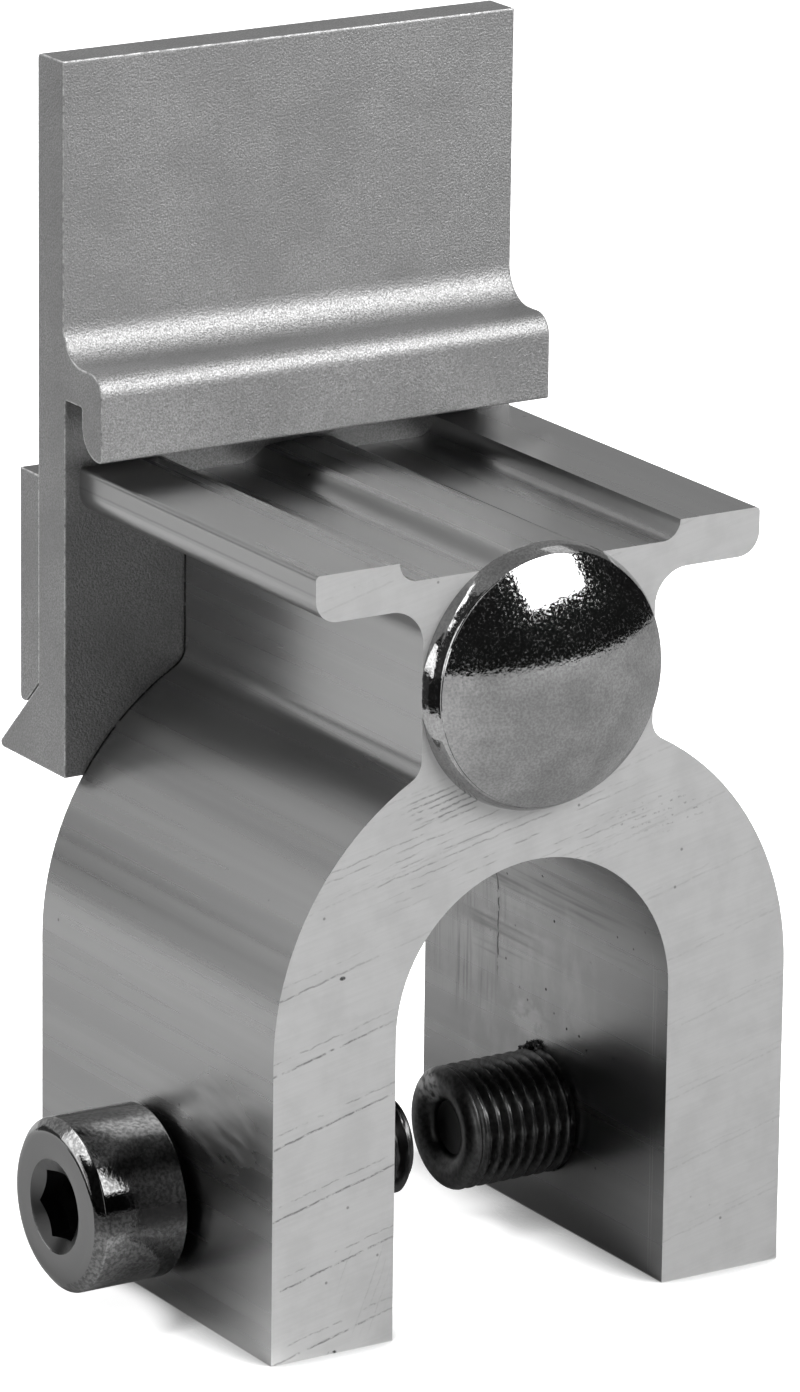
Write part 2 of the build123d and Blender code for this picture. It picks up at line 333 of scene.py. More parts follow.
def add_softbox(name, bearing, rise, distance, width, height, power):
    """A rectangular area lamp that faces the middle of the clamp, from a bearing and a rise in
    degrees. Distance and size are in metres, the power is in watts."""
    lamp_data = bpy.data.lights.new(name, "AREA")
    lamp_data.shape = "RECTANGLE"
    lamp_data.size = width
    lamp_data.size_y = height
    lamp_data.energy = power
    lamp = bpy.data.objects.new(name, lamp_data)
    target = Vector((0.0, 0.0, 0.06))
    place = target + Vector(distance * direction(bearing, rise))
    aim = (target - place).to_track_quat("-Z", "Y").to_matrix().to_4x4()
    lamp.matrix_world = Matrix.Translation(place) @ aim
    bpy.context.scene.collection.objects.link(lamp)
    return lamp


add_softbox(
    "key_softbox", bearing=30.5, rise=36.5, distance=1.05, width=0.60, height=0.58, power=14.5
)
top_softbox = add_softbox(
    "top_softbox", bearing=200, rise=75, distance=0.95, width=0.8, height=0.8, power=6.0
)
top_softbox.visible_glossy = False  # metal doesn't mirror it


# Clamp body: extruded aluminium, sawn to length and tapped through both legs. The sides are
# semi-gloss with die lines along them, and both ends are dull, with the marks of the saw's teeth.
def streaks(tree, place, cells, turn=(0, 0, 0), low=0.3, high=0.7, detail=4.0, shift=(0, 0, 0)):
    """Noise drawn out along one axis: 0 below the low value and 1 above the high one, with a
    number of cells in each millimetre along the turned axes."""
    stretched = add_node(
        tree, "ShaderNodeVectorMath", {0: turned_mm(tree, place, turn, shift), 1: cells},
        operation="MULTIPLY",
    )
    noise = add_node(
        tree, "ShaderNodeTexNoise",
        {"Vector": stretched.outputs[0], "Scale": 1.0, "Detail": detail, "Roughness": 0.55},
    )
    return soft_range(tree, noise.outputs[0], low, high)


def ruled_lines(tree, place, turn, first, spacing, width, wobble):
    """Thin lines at an even spacing in millimetres. The height above the first line is shifted
    by a slow noise and wrapped to the spacing, and a line shows where it is under the width."""
    turned = turned_mm(tree, place, turn)
    height = add_node(tree, "ShaderNodeSeparateXYZ", {0: turned}).outputs["Z"]
    slow = add_node(tree, "ShaderNodeTexNoise", {"Vector": turned, "Scale": 0.7, "Detail": 3.0})
    shifted = add_node(
        tree, "ShaderNodeMath", {0: slow.outputs[0], 1: 2 * wobble, 2: height},
        operation="MULTIPLY_ADD",
    )
    wrapped = add_node(
        tree, "ShaderNodeMath",
        {0: shifted.outputs[0], 1: first + wobble - spacing / 2, 2: first + wobble + spacing / 2},
        operation="WRAP",
    )
    centred = add_node(
        tree, "ShaderNodeMath", {0: wrapped.outputs[0], 1: first + wobble}, operation="SUBTRACT"
    )
    distance = add_node(tree, "ShaderNodeMath", {0: centred.outputs[0]}, operation="ABSOLUTE")
    return soft_range(tree, distance.outputs[0], width, 0.2 * width)


def product(tree, *factors):
    """The product of any number of sockets and numbers."""
    total = factors[0]
    for factor in factors[1:]:
        total = add_node(
            tree, "ShaderNodeMath", {0: total, 1: factor}, operation="MULTIPLY"
        ).outputs[0]
    return total


def facing(tree, normal, axis, least):
    """1 where a face looks along an axis, either way, and 0 elsewhere."""
    split = add_node(tree, "ShaderNodeSeparateXYZ", {0: normal}).outputs[axis]
    amount = add_node(tree, "ShaderNodeMath", {0: split}, operation="ABSOLUTE").outputs[0]
    return soft_range(tree, amount, least, least + 0.02)


def changed(tree, level, *changes):
    """A number that is replaced in turn where masks are 1. Each change is a mask and a number,
    and either number may be a socket."""
    for mask, other in changes:
        level = add_node(
            tree, "ShaderNodeMix", {0: mask, 2: level, 3: other}, data_type="FLOAT"
        ).outputs[0]
    return level


def painted(tree, ground, *coats):
    """A ground colour under coats that are laid over it in turn. Each coat is a mask and a
    colour, and a colour is sRGB hex or a socket."""
    colour = linear(ground)
    for mask, coat in coats:
        coat = linear(coat) if isinstance(coat, str) else coat
        colour = add_node(
            tree, "ShaderNodeMix", {0: mask, 6: colour, 7: coat}, data_type="RGBA"
        ).outputs[2]
    return colour


def specks(tree, place, spacing, size, shift=(0, 0, 0)):
    """Round specks of a size in millimetres, about one in each cube of the spacing."""
    turned = turned_mm(tree, place, (0, 0, 0), shift)
    cells = add_node(
        tree, "ShaderNodeTexVoronoi", {"Vector": turned, "Scale": 1 / spacing, "Randomness": 1.0}
    )
    return soft_range(tree, cells.outputs["Distance"], size / spacing, 0.4 * size / spacing)


# Extruded and sawn aluminium: the sides mirror what stands around in a soft band, drawn out across
# the die lines, and the sawn ends scatter light evenly.
aluminium, tree, output = new_material("sawn_extruded_aluminium")
place = add_node(tree, "ShaderNodeTexCoord")
spot, normal = place.outputs["Object"], place.outputs["Normal"]
on_end = facing(tree, normal, "Y", 0.9)

# Marks on the sides. Each is a pattern times the patch that it lies in and its strength.
# Die lines along the length: fine ones 0.3 mm apart and soft bands some millimetres wide
fine_lines = streaks(tree, spot, (3.0, 0.01, 3.0), low=0.35, high=0.65, detail=2.0)
bands = streaks(tree, spot, (0.30, 0.003, 0.30), low=0.3, high=0.7, detail=2.0, shift=(7, 3, 5))
# Rubbed dull and faintly scratched on the left leg, above the cap screw and in front of it. The
# rubbed patch is also drawn lighter there: painted light.
rubs = product(
    tree, streaks(tree, spot, (1.4, 0.16, 1.4), (-14, 0, 0), 0.52, 0.75, detail=3.0),
    patch(tree, spot, (-27, -11, 20), (3, 8, 6)), 0.15,
)
rubbed_dull_and_painted_light = product(
    tree, patch(tree, spot, (-27, -11.5, 20), (3, 6, 4.5)),
    streaks(tree, spot, (0.8, 0.2, 0.8), (-14, 0, 0), 0.30, 0.85, detail=3.0, shift=(2, 1, 6)),
)
# A dark draw line along the table's left edge, thin bright ones all over, and the saw's lines
# inside the right leg's front edge
flange_line = product(
    tree, ruled_lines(tree, spot, (0, 0, 0), 70.2, 60, 0.16, 0.05),
    patch(tree, spot, (-25.5, 0, 70), (3, 60, 3)), 0.35,
)
light_lines = product(
    tree, streaks(tree, spot, (3.5, 0.03, 3.5), low=0.60, high=0.72, detail=2.0, shift=(1, 6, 2)),
    streaks(tree, spot, (0.3, 0.08, 0.3), low=0.45, high=0.6, detail=1.0, shift=(6, 1, 4)), 0.12,
)
edge_lines = product(
    tree, ruled_lines(tree, spot, (90, 0, 0), -18.6, 0.42, 0.07, 0.05),
    patch(tree, spot, (14.4, -18.3, 15), (1, 0.6, 18)),
)
# The dark gap where the hooked plate meets the neck
height = add_node(tree, "ShaderNodeSeparateXYZ", {0: spot}).outputs["Z"]
joint_line = product(
    tree, ruled_lines(tree, spot, (90, 0, 0), 20.38, 60, 0.30, 0.12),
    streaks(tree, spot, (0.9, 0.9, 0.9), low=0.30, high=0.42, detail=2.0, shift=(5, 9, 5)),
    soft_range(tree, height, 0.0425, 0.0435), soft_range(tree, height, 0.0665, 0.0655),
)
# Inside the right leg: chatter across the draw, one deep line, dark and pale draw lines, metal
# dust above the tapped hole, smears and specks of dirt
inner_chatter = product(
    tree, streaks(tree, spot, (0.5, 1.9, 0.09), low=0.45, high=0.75, detail=4.0, shift=(2, 7, 7)),
    patch(tree, spot, (14.4, 13.5, 28), (4, 9, 13)), 0.36,
)
deep_line = product(
    tree, ruled_lines(tree, spot, (90, 0, 0), 7.85, 60, 0.20, 0.3),
    streaks(tree, spot, (0.5, 1.0, 0.9), low=0.40, high=0.5, detail=2.0, shift=(7, 7, 1)),
    patch(tree, spot, (14.4, 7.9, 29.5), (4, 3, 9)), 0.8,
)
draw_lines = product(
    tree, streaks(tree, spot, (0.8, 0.03, 0.8), low=0.54, high=0.74, detail=3.0, shift=(3, 3, 9)),
    patch(tree, spot, (14.4, -1, 28), (4, 17, 9)), 0.42,
)
pale_draw = product(
    tree, streaks(tree, spot, (0.6, 0.03, 0.6), low=0.50, high=0.72, detail=3.0, shift=(9, 6, 1)),
    patch(tree, spot, (14.4, -3, 27), (4, 14, 7)), 0.5,
)
dust = product(
    tree, streaks(tree, spot, (1.0, 1.0, 1.0), low=0.30, high=0.55, detail=4.0, shift=(5, 2, 8)),
    patch(tree, spot, (14.4, 2.6, 18.6), (3, 3.2, 2.0)), 0.7,
)
smears = product(
    tree, streaks(tree, spot, (0.5, 0.5, 0.25), low=0.40, high=0.7, detail=4.0, shift=(1, 3, 3)),
    patch(tree, spot, (14.4, 4, 22), (3, 16, 16)),
)
dirt_spots = product(
    tree, specks(tree, spot, 2.2, 0.20, (6, 1, 3)), patch(tree, spot, (14.4, -5, 28), (4, 16, 14)),
)

# Saw marks on the ends: each tooth leaves a line that rises by 14.5 degrees, clearest on the left
# leg. Finer lines stand close together on the crown, short ones as a comb below the bolt's head,
# and steep scratches near the left foot.
grain = streaks(tree, spot, (0.14, 1.0, 4.5), (0, 11, 0), 0.3, 0.7, 3.0)
gaps = streaks(tree, spot, (0.9, 1.0, 0.4), (0, 14.5, 0), 0.36, 0.5, shift=(3, 1, 8))
left_leg = patch(tree, spot, (-23, 0, 16), (12, 60, 26))
teeth = product(
    tree, ruled_lines(tree, spot, (0, 14.5, 0), 6.7, 6.54, 0.15, 0.15), gaps,
    changed(tree, 0.12, (left_leg, 0.62)),
)
second_teeth = product(
    tree, ruled_lines(tree, spot, (0, 13.8, 0), 7.6, 6.54, 0.11, 0.3),
    streaks(tree, spot, (0.5, 1.0, 0.3), (0, 14.5, 0), 0.45, 0.55, shift=(13, 2, 1)),
    changed(tree, 0.08, (left_leg, 0.36)),
)
crown_lines = product(
    tree, ruled_lines(tree, spot, (0, 12.5, 0), 0.3, 0.74, 0.12, 0.22),
    streaks(tree, spot, (0.22, 1.0, 1.3), (0, 12.5, 0), 0.47, 0.6, 3.0, (1, 9, 4)),
    patch(tree, spot, (-6, 0, 45.5), (22, 60, 6.5)), 0.36,
)
comb = product(
    tree, ruled_lines(tree, spot, (0, 13, 0), 0.1, 0.56, 0.14, 0.12),
    streaks(tree, spot, (0.5, 1.0, 0.9), (0, 13, 0), 0.36, 0.46, shift=(2, 2, 2)),
    patch(tree, spot, (-9.5, 0, 49.4), (5.0, 60, 1.9)), 0.55,
)
steep = product(
    tree, ruled_lines(tree, spot, (0, 68, 0), 0.2, 0.8, 0.10, 0.15),
    streaks(tree, spot, (0.08, 1.0, 0.8), (0, 68, 0), 0.50, 0.6, shift=(5, 5, 5)),
    patch(tree, spot, (-17.5, 0, 6.5), (3.2, 60, 6.0)), 0.16,
)
chatter = product(
    tree, ruled_lines(tree, spot, (0, 8, 0), 0.2, 0.7, 0.14, 0.2),
    streaks(tree, spot, (2.6, 1.0, 1.0), (0, 8, 0), 0.52, 0.6, shift=(4, 0, 3)),
    patch(tree, spot, (13, 0, 45.0), (6.5, 60, 2.2)), 0.40,
)
pits = product(tree, specks(tree, spot, 3.4, 0.20), 0.5)
crumbs = streaks(tree, spot, (2.6, 1.0, 2.6), (0, 30, 0), 0.42, 0.5, shift=(1, 4, 7))
nicks = product(
    tree,
    strongest(
        tree, patch(tree, spot, (-20.7, -20.5, 0.1), (0.5, 1, 0.25)),
        patch(tree, spot, (-20.0, -20.5, 35.0), (0.35, 1, 0.22)),
    ),
    crumbs, 0.9,
)
ragged = streaks(tree, spot, (2.2, 1.0, 7.0), (0, 13, 0), 0.28, 0.58, 3.0, (3, 3, 3))
cuts = product(
    tree, strongest(tree, teeth, second_teeth, crown_lines, comb, steep, chatter), ragged
)
cuts = strongest(tree, cuts, pits, nicks)
worn = streaks(tree, spot, (0.35, 0.35, 0.35), low=0.35, high=0.7, detail=4.0, shift=(4, 2, 8))
dirt = product(tree, specks(tree, spot, 5.5, 0.22, (2, 2, 2)), 0.5)

light_marks = strongest(tree, rubs, light_lines, edge_lines, pale_draw, dust)
dark_marks = strongest(
    tree, dirt, joint_line, flange_line, inner_chatter, deep_line, draw_lines, dirt_spots
)
sawn_colour = painted(
    tree, "#c6c6c6", (grain, "#cacaca"), (product(tree, worn, 0.35), "#b4b4b4"), (cuts, "#303030")
)
tint = painted(
    tree, "#9c9c9c", (bands, "#a6a6a6"), (product(tree, light_marks, 0.5), "#d0d0d0"),
    (product(tree, smears, 0.26), "#c4c4c4"), (dark_marks, "#181818"),
    (product(tree, rubbed_dull_and_painted_light, 0.4), "#c4c4c4"), (on_end, sawn_colour),
)
# The saw's lines are cut in, and its grain and the die lines stand out by far less
sawn_relief = add_node(
    tree, "ShaderNodeMath", {0: grain, 1: 0.05, 2: product(tree, cuts, -2.0)},
    operation="MULTIPLY_ADD",
)
relief = changed(tree, product(tree, fine_lines, 0.10), (on_end, sawn_relief.outputs[0]))
bump = add_node(
    tree, "ShaderNodeBump", {"Height": relief, "Strength": 0.5, "Distance": 0.02 * MM}
)
length_axis = add_node(tree, "ShaderNodeCombineXYZ", {"Y": 1.0})
metal = add_node(
    tree, "ShaderNodeBsdfPrincipled",
    {
        "Base Color": tint,
        "Metallic": 1.0,
        "Roughness": changed(tree, 0.25, (bands, 0.30), (rubbed_dull_and_painted_light, 0.44), (on_end, 0.55)),
        "Anisotropic": changed(tree, 0.4, (on_end, 0.0)),
        "Anisotropic Rotation": 0.25,
        "Tangent": length_axis.outputs[0],
        "Normal": bump.outputs[0],
    },
)
tree.links.new(metal.outputs[0], output.inputs["Surface"])
nodes["clamp_body"].data.materials[0] = aluminium


# Hooked plate and clamping bar: extruded aluminium, blasted with fine beads to an even, grainy
# matt. The dents are drawn 0.2 mm wide, about twice the real ones, so that the grain shows.
blasted, tree, output = new_material("bead_blasted_aluminium")
spot = add_node(tree, "ShaderNodeTexCoord").outputs["Object"]
dents = streaks(tree, spot, (4.8, 4.8, 4.8), low=0.25, high=0.75, detail=1.0)
clouds = streaks(tree, spot, (0.13, 0.13, 0.13), low=0.35, high=0.68, detail=5.0)
grains = streaks(tree, spot, (6.2, 6.2, 6.2), low=0.25, high=0.75, detail=1.0, shift=(8, 1, 3))
# The sharp edges are drawn lighter: a painted highlight along them
rim = add_node(tree, "ShaderNodeBevel", {"Radius": 0.35 * MM}, samples=6)
flat = add_node(tree, "ShaderNodeNewGeometry")
bend = add_node(
    tree, "ShaderNodeVectorMath", {0: rim.outputs[0], 1: flat.outputs["True Normal"]},
    operation="DOT_PRODUCT",
)
painted_edge_highlight = product(
    tree, soft_range(tree, bend.outputs["Value"], 0.97, 0.8),
    streaks(tree, spot, (1.6, 1.6, 1.6), low=0.3, high=0.6, detail=3.0, shift=(4, 4, 1)),
)
# The upward slopes of fillet and nose are drawn brighter and grainier: a painted sheen
slope = add_node(tree, "ShaderNodeSeparateXYZ", {0: flat.outputs["Normal"]})
painted_sheen_on_slopes = product(
    tree, soft_range(tree, slope.outputs["Z"], 0.15, 0.4),
    soft_range(tree, slope.outputs["Z"], 0.97, 0.8),
)
tint = painted(
    tree, "#848484", (grains, "#a4a4a4"), (product(tree, clouds, 0.5), "#868686"),
    (painted_edge_highlight, "#e0e0e0"), (painted_sheen_on_slopes, painted(tree, "#7a7a7a", (grains, "#b2b2b2"))),
)
bump = add_node(
    tree, "ShaderNodeBump",
    {"Height": dents, "Strength": 0.8, "Distance": 0.03 * MM, "Normal": rim.outputs[0]},
)
metal = add_node(
    tree, "ShaderNodeBsdfPrincipled",
    {"Base Color": tint, "Metallic": 1.0, "Roughness": 0.58, "Normal": bump.outputs[0]},
)
tree.links.new(metal.outputs[0], output.inputs["Surface"])
nodes["hooked_plate"].data.materials[0] = blasted
nodes["clamping_bar"].data.materials[0] = blasted


# Carriage bolt: cold headed steel, plated bright. The head is a shallow dome on a rounded rim,
# a square neck holds it from turning, and the last 26 mm of its shank carry a rolled thread.
def turned_piece(name, rows, sides, to_points, material):
    """A closed turned surface. Each row is (station, radius) with a number or an array of one
    number for each side, and the first and last rows lie on the axis. Every row is a ring of
    points, rings are joined by quads and the ends by fans. to_points turns arrays of station,
    radius and angle into points in millimetres."""
    angle = np.linspace(0, 2 * np.pi, sides, endpoint=False)
    station = np.array([np.broadcast_to(row[0], sides) for row in rows], float)
    radius = np.array([np.broadcast_to(row[1], sides) for row in rows], float)
    ring = to_points(station, radius, np.broadcast_to(angle, station.shape)).reshape(-1, 3)
    ends = to_points(station[[0, -1], :1], np.zeros((2, 1)), np.zeros((2, 1))).reshape(-1, 3)
    points = np.concatenate([ring[sides:-sides], ends])
    count = len(rows) - 2
    first = np.arange(sides)
    second = np.roll(first, -1)
    level = np.arange(count - 1)[:, None] * sides
    quads = np.stack(
        [level + first, level + second, level + sides + second, level + sides + first], axis=-1
    ).reshape(-1, 4)
    start, end = count * sides, count * sides + 1
    start_fan = np.stack([np.full(sides, start), second, first], axis=-1)
    last = (count - 1) * sides
    end_fan = np.stack([np.full(sides, end), last + first, last + second], axis=-1)
    faces = quads.tolist() + start_fan.tolist() + end_fan.tolist()
    piece = add_mesh(name, points * MM, faces, material)
    mesh = piece.data
    shape = bmesh.new()
    shape.from_mesh(mesh)
    if shape.calc_volume(signed=True) < 0:
        bmesh.ops.reverse_faces(shape, faces=shape.faces[:])
    shape.to_mesh(mesh)
    shape.free()
    sharp_corner = radians(32)
    mesh.set_sharp_from_angle(angle=sharp_corner)
    return piece


def thread_depth(station, angle, pitch):
    """Depth of a metric thread below its crest, 0 to 0.6134 of the pitch. The distance from the
    crest's helix, as a share of half the pitch, is cut off flat near crest and root."""
    phase = station / pitch - angle / (2 * np.pi)
    share = np.abs(2 * (phase - np.floor(phase)) - 1)
    return 0.6134 * pitch * np.clip((share - 0.14) / 0.62, 0, 1)


def threaded_rows(stations, outline, sides, pitch, start, end):
    """Rows of a turned piece with a thread between two stations. The radius is the outline's or
    the thread's, whichever is less, and the thread fades in over half a pitch at both ends."""
    angle = np.linspace(0, 2 * np.pi, sides, endpoint=False)
    fade = np.clip((stations - start) / (0.5 * pitch), 0, 1)
    fade = fade * np.clip((end - stations) / (0.5 * pitch), 0, 1)
    crest = outline.max()
    depth = thread_depth(stations[:, None], angle[None, :], pitch) * fade[:, None]
    radius = np.minimum(outline[:, None], crest - depth)
    return list(zip(stations, radius))


def along_x(axis_height):
    """Turns station, radius and angle into points about a level axis across the seam."""
    return lambda station, radius, angle: np.stack(
        [station, radius * np.cos(angle), axis_height + radius * np.sin(angle)], axis=-1
    )


def along_y(axis_height):
    """Turns station, radius and angle into points about a level axis along the seam."""
    return lambda station, radius, angle: np.stack(
        [radius * np.cos(angle), station, axis_height + radius * np.sin(angle)], axis=-1
    )


# Bright plating on headed steel: a nearly clear mirror, slightly wavy, with a cloudy bloom.
chrome, tree, output = new_material("bright_plated_steel")
spot = add_node(tree, "ShaderNodeTexCoord").outputs["Object"]
waves = streaks(tree, spot, (0.9, 0.9, 0.9), low=0.2, high=0.8, detail=1.0)
peel = streaks(tree, spot, (2.6, 2.6, 2.6), low=0.25, high=0.75, detail=1.5, shift=(2, 5, 1))
clouds = streaks(tree, spot, (0.30, 0.30, 0.30), low=0.3, high=0.7, detail=3.0, shift=(3, 1, 2))
stains = streaks(tree, spot, (4.5, 4.5, 4.5), low=0.3, high=0.7, detail=2.0, shift=(9, 3, 7))
haze = streaks(tree, spot, (4.0, 4.0, 4.0), low=0.47, high=0.70, detail=4.0, shift=(4, 8, 2))
# The rim is drawn bright at its upper left: a painted highlight
painted_rim_highlight = patch(tree, spot, (-7, -18.2, 68), (12, 1.9, 8.5))
uneven = add_node(
    tree, "ShaderNodeMath", {0: waves, 1: 0.20, 2: product(tree, peel, 0.34)},
    operation="MULTIPLY_ADD",
)
bump = add_node(
    tree, "ShaderNodeBump",
    {"Height": uneven.outputs[0], "Strength": 0.5, "Distance": 0.02 * MM},
)
tint = painted(
    tree, "#868686", (clouds, "#949494"),
    (stains, painted(tree, "#9a9a9a", (clouds, "#acacac"))), (painted_rim_highlight, "#d8d8d8"),
)
metal = add_node(
    tree, "ShaderNodeBsdfPrincipled",
    {
        "Base Color": tint,
        "Metallic": 1.0,
        "Roughness": changed(tree, 0.035, (stains, 0.08), (haze, 0.24)),
        "Normal": bump.outputs[0],
    },
)
tree.links.new(metal.outputs[0], output.inputs["Surface"])

sides = 144
bolt_height = 59.76
bolt_end = 44.5
head_seat = -20.5
head_top = head_seat - 5.38
dome_edge = 11.45  # radius at which the dome meets the rim
ball_radius = 21.85  # of the sphere that the dome is cut from
rim_start = head_seat - 2.0
neck_half_width = 5
neck_corner = 6.4
m10_radius = 5.0
m10_pitch = 1.5
turns = np.linspace(0, np.arcsin(dome_edge / ball_radius), 40)
rows = [(head_top + ball_radius * (1 - np.cos(t)), ball_radius * np.sin(t)) for t in turns]
rows += [(rim_start, dome_edge + 0.02)]
# The rim's profile in steps: how steep each is, in degrees, and how far it goes along the axis
rim_tilt = np.radians([30, 48, 58, 62, 64, 68, 73, 77, 79, 81, 86])
rim_depth = np.array([0.04, 0.10, 0.16, 0.26, 0.26, 0.16, 0.16, 0.26, 0.28, 0.22, 0.10])
rim_radius = dome_edge + 0.02 + np.cumsum(rim_depth / np.tan(rim_tilt))
rows += list(zip(rim_start + np.cumsum(rim_depth), rim_radius))
angle = np.linspace(0, 2 * np.pi, sides, endpoint=False)
square = neck_half_width / np.maximum(np.abs(np.cos(angle)), np.abs(np.sin(angle)))
square = np.minimum(square, neck_corner)
rows += [(head_seat + 0.01, square), (head_seat + 6.0, square)]
rows += [(head_seat + 6.4, np.minimum(square, m10_radius))]
stations = np.arange(bolt_end - 26, bolt_end, 0.125)
outline = np.minimum(m10_radius, m10_radius - (stations - (bolt_end - 1.0)))
rows += threaded_rows(stations, outline, sides, m10_pitch, bolt_end - 25.5, bolt_end + 2)
rows += [(bolt_end, m10_radius - 1.0), (bolt_end, 0.0)]
bolt = turned_piece("bolt_with_domed_head", rows, sides, along_y(bolt_height), chrome)
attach(bolt, "body")
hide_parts("carriage_bolt")


# Washer and nut behind the bar: plated steel with the same bright finish as the bolt. The nut
# pulls bar, plate and body together.
nodes["flat_washer"].data.materials[0] = chrome
nodes["hex_nut"].data.materials[0] = chrome


# Cap screw in the left leg: M10 steel with a smooth turned head, blackened in an oxide bath. The
# hexagon socket opens through a wide countersink, and the thread is rolled.
screw_height = 10.4  # of both clamping screws above the feet
# Thin black oxide on smooth turned steel: a dark, faintly mottled mirror. A band along the top of
# the head is drawn lighter, a painted highlight, and one just below it darker, a painted shade.
# The face and the shank are duller.
blackened, tree, output = new_material("black_oxide_steel")
place = add_node(tree, "ShaderNodeTexCoord")
spot, normal = place.outputs["Object"], place.outputs["Normal"]
mottle = streaks(tree, spot, (3.0, 3.0, 3.0), low=0.35, high=0.65, detail=4.0)
satin = streaks(tree, spot, (4.5, 4.5, 4.5), low=0.45, high=0.65, detail=3.0, shift=(9, 3, 7))
on_face = facing(tree, normal, "X", 0.9)
split = add_node(tree, "ShaderNodeSeparateXYZ", {0: spot})
across, height = split.outputs["X"], split.outputs["Z"]
on_shank = soft_range(tree, across, -28 * MM, -26 * MM)
# Countersink: darker, a painted shade in the recess, and lighter towards its top, painted light
in_sink = product(
    tree, changed(tree, 1.0, (on_face, 0.0)),
    patch(tree, spot, (-36.9, 0, screw_height), (4, 6.6, 6.6)),
)
# A darker band just below the top of the head: painted shade
painted_shade_band = product(
    tree, soft_range(tree, height, 16.8 * MM, 15.2 * MM),
    soft_range(tree, height, 9.0 * MM, 11.5 * MM),
)
# A lighter band along the top of the head: painted highlight
painted_highlight_band = soft_range(tree, height, 15.4 * MM, 16.8 * MM)
tint = painted(
    tree, "#545454", (mottle, "#7a7a7a"),
    (painted_shade_band, painted(tree, "#303030", (mottle, "#4a4a4a"))),
    (painted_highlight_band, painted(tree, "#686868", (mottle, "#929292"))),
    (on_face, "#747474"),
    (in_sink, painted(tree, "#2e2e2e", (soft_range(tree, height, 9 * MM, 13 * MM), "#5c5c5c"))),
    (on_shank, "#484848"),
)
bump_strength = changed(tree, 0.12, (on_face, 0.05))
bump = add_node(
    tree, "ShaderNodeBump", {"Height": mottle, "Strength": bump_strength, "Distance": 0.025 * MM}
)
metal = add_node(
    tree, "ShaderNodeBsdfPrincipled",
    {
        "Base Color": tint,
        "Metallic": 1.0,
        "Roughness": changed(
            tree, 0.05, (satin, 0.09), (strongest(tree, on_shank, in_sink), 0.3)
        ),
        "Normal": bump.outputs[0],
    },
)
tree.links.new(metal.outputs[0], output.inputs["Surface"])


def hexagon_radius(across_flats, angle, turn):
    """Distance from the middle of a hexagon to its edge: half its width across flats divided by
    the cosine of the angle from the nearest flat's middle."""
    step = np.pi / 3
    off = (angle - turn + step / 2) % step - step / 2
    return across_flats / 2 / np.cos(off)


def rounding(station, radius, size, start, end, count=5):
    """Points on a round edge: a circle of a size about (station, radius), between two angles in
    degrees, where 0 points along the axis and 90 away from it."""
    turn = np.radians(np.linspace(start, end, count))
    return list(zip(station + size * np.cos(turn), radius + size * np.sin(turn)))


sides = 120
angle = np.linspace(0, 2 * np.pi, sides, endpoint=False)
cap_face = -37.4
cap_seat = -27.7
cap_tip = -2.1
cap_radius = 8.0
edge_radius = 1.6  # of the round edge about the face
small_edge = 0.25
sink_radius = 4.4
socket = hexagon_radius(6.1, angle, radians(20.6))
socket_floor = cap_face + 5.0
countersink_depth = (sink_radius - socket) / tan(radians(60))
rows = [(socket_floor + 1.2, 0.0), (socket_floor, socket * 0.98), (socket_floor - 0.05, socket)]
rows += [(cap_face + countersink_depth, socket), (cap_face + 0.03, sink_radius - 0.04)]
rows += [(cap_face, sink_radius + 0.04), (cap_face, 6.1)]
rows += rounding(cap_face + edge_radius, 6.35, edge_radius, 180, 135, 9)
rows += rounding(cap_face + 1.0, cap_radius - small_edge, small_edge, 135, 90)
rows += rounding(cap_seat - 0.7, cap_radius - small_edge, small_edge, 90, 30)
rows += [(cap_seat, 7.5), (cap_seat, 5.2)]
stations = np.arange(cap_seat + 0.3, cap_tip - 0.05, 0.125)
outline = np.minimum(m10_radius, 4.2 + (cap_tip - stations))
rows += threaded_rows(stations, outline, sides, m10_pitch, cap_seat + 1.0, 0.0)
rows += [(cap_tip, 4.15), (cap_tip, 0.0)]
cap_screw = turned_piece("cap_screw_with_thread", rows, sides, along_x(screw_height), blackened)
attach(cap_screw, "cap_screw")
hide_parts("cap_screw")


# Set screw in the right leg: hardened steel with a fine thread and a cup point, its hexagon socket
# at the outer end. A thick black oxide makes it darker than the cap screw and satin. The upper
# edge of the point has a painted highlight, and the hollow of the cup a painted shade.
dark_oxide, tree, output = new_material("dark_black_oxide_steel")
spot = add_node(tree, "ShaderNodeTexCoord").outputs["Object"]
mottle = streaks(tree, spot, (2.2, 2.2, 2.2), low=0.3, high=0.7, detail=5.0)
# The hollow of the cup is drawn darker: painted shade
painted_shade_in_cup = patch(tree, spot, (5.2, 0, screw_height), (2.4, 4.6, 4.6))
# A lighter patch on the upper edge of the point: painted highlight
painted_point_highlight = product(
    tree, patch(tree, spot, (3.6, 2.6, screw_height + 3.6), (1.6, 2.6, 1.8)),
    streaks(tree, spot, (1.4, 1.4, 1.4), low=0.30, high=0.60, detail=3.0, shift=(1, 1, 6)),
)
tint = painted(
    tree, "#3e3e3e", (mottle, "#545454"), (painted_shade_in_cup, "#262626"), (painted_point_highlight, "#9c9c9c")
)
metal = add_node(
    tree, "ShaderNodeBsdfPrincipled", {"Base Color": tint, "Metallic": 1.0, "Roughness": 0.36}
)
tree.links.new(metal.outputs[0], output.inputs["Surface"])

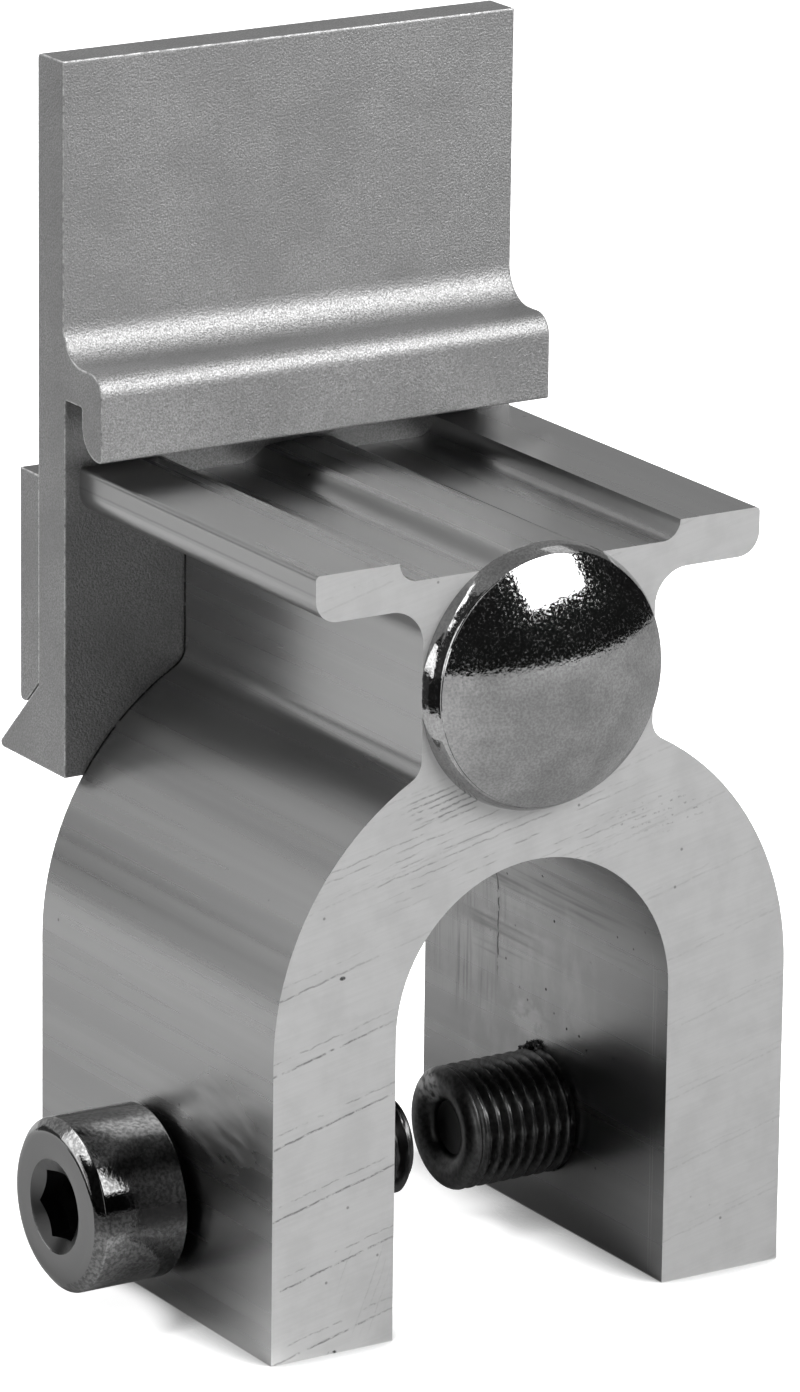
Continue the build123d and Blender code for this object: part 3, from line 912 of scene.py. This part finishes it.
set_tip = 3.35
set_end = 28.35
set_radius = 5.8
set_pitch = 1.25
point_radius = 4.6
cup_radius = 4.42
end_radius = 5.0
socket = hexagon_radius(6.0, angle, 0.0)
socket_floor = set_end - 7.0
rows = [(set_tip + 1.7, 0.0), (set_tip + 1.66, 1.2), (set_tip + 1.5, 2.0)]
turns = np.radians(np.linspace(0, 84, 9))
rows += [(set_tip + 1.25 * (1 - np.sin(t)), cup_radius - 1.9 * np.cos(t)) for t in turns]
rows += [(set_tip, cup_radius), (set_tip + 0.02, point_radius)]
stations = np.arange(set_tip + 0.15, set_end - 0.1, 0.1042)
# The point is rounded over its first millimetre, a quarter of an ellipse up to the thread
lead = np.clip(stations - set_tip, 0, 1)
outline = point_radius + (set_radius - point_radius) * np.sqrt(1 - (1 - lead) ** 2)
outline = np.minimum(np.minimum(outline, end_radius + (set_end - stations)), set_radius)
rows += threaded_rows(stations, outline, sides, set_pitch, set_tip + 0.9, set_end + 1)
rows += [(set_end, end_radius), (set_end, 3.6), (set_end - 0.3, socket)]
rows += [(socket_floor, socket), (socket_floor, 0.0)]
set_screw = turned_piece("set_screw_with_thread", rows, sides, along_x(screw_height), dark_oxide)
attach(set_screw, "set_screw")
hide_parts("set_screw")


# Burrs at the upper edge of the set screw's hole: chips of the tapped thread, black with oil.
def add_lumps(name, centres, radii, material, seed):
    """Small closed lumps as one mesh: at each centre an icosphere whose points are moved along
    their radius by up to 45 percent, at random."""
    shape = bmesh.new()
    bmesh.ops.create_icosphere(shape, subdivisions=2, radius=1.0)
    shape.verts.index_update()
    ball = np.array([corner.co for corner in shape.verts])
    faces = np.array([[corner.index for corner in face.verts] for face in shape.faces])
    shape.free()
    random = np.random.default_rng(seed)
    centres, radii = np.asarray(centres, float), np.asarray(radii, float)
    swell = 1 + random.uniform(-0.45, 0.45, (len(centres), len(ball)))
    stretch = random.uniform(0.6, 1.4, (len(centres), 1, 3))
    points = centres[:, None] + ball * stretch * (swell * radii[:, None])[..., None]
    faces = faces + np.arange(len(centres))[:, None, None] * len(ball)
    return add_mesh(name, points.reshape(-1, 3) * MM, faces.reshape(-1, 3), material, smooth=False)


chip_count = 26
leg_face = 14.4  # inner face of the right leg
random = np.random.default_rng(7)
around = np.radians(random.uniform(60, 88, chip_count))
reach = random.uniform(set_radius, 6.15, chip_count) + 0.25 * (np.cos(around * 9) > 0.5)
off_face = leg_face - 0.1 - random.uniform(0, 0.5, chip_count)
centres = np.stack(
    [off_face, reach * np.cos(around), screw_height + reach * np.sin(around)], axis=1
)
radii = random.uniform(0.10, 0.26, chip_count)
burrs = add_lumps("thread_burrs", centres, radii, dark_oxide, seed=5)
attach(burrs, "body")
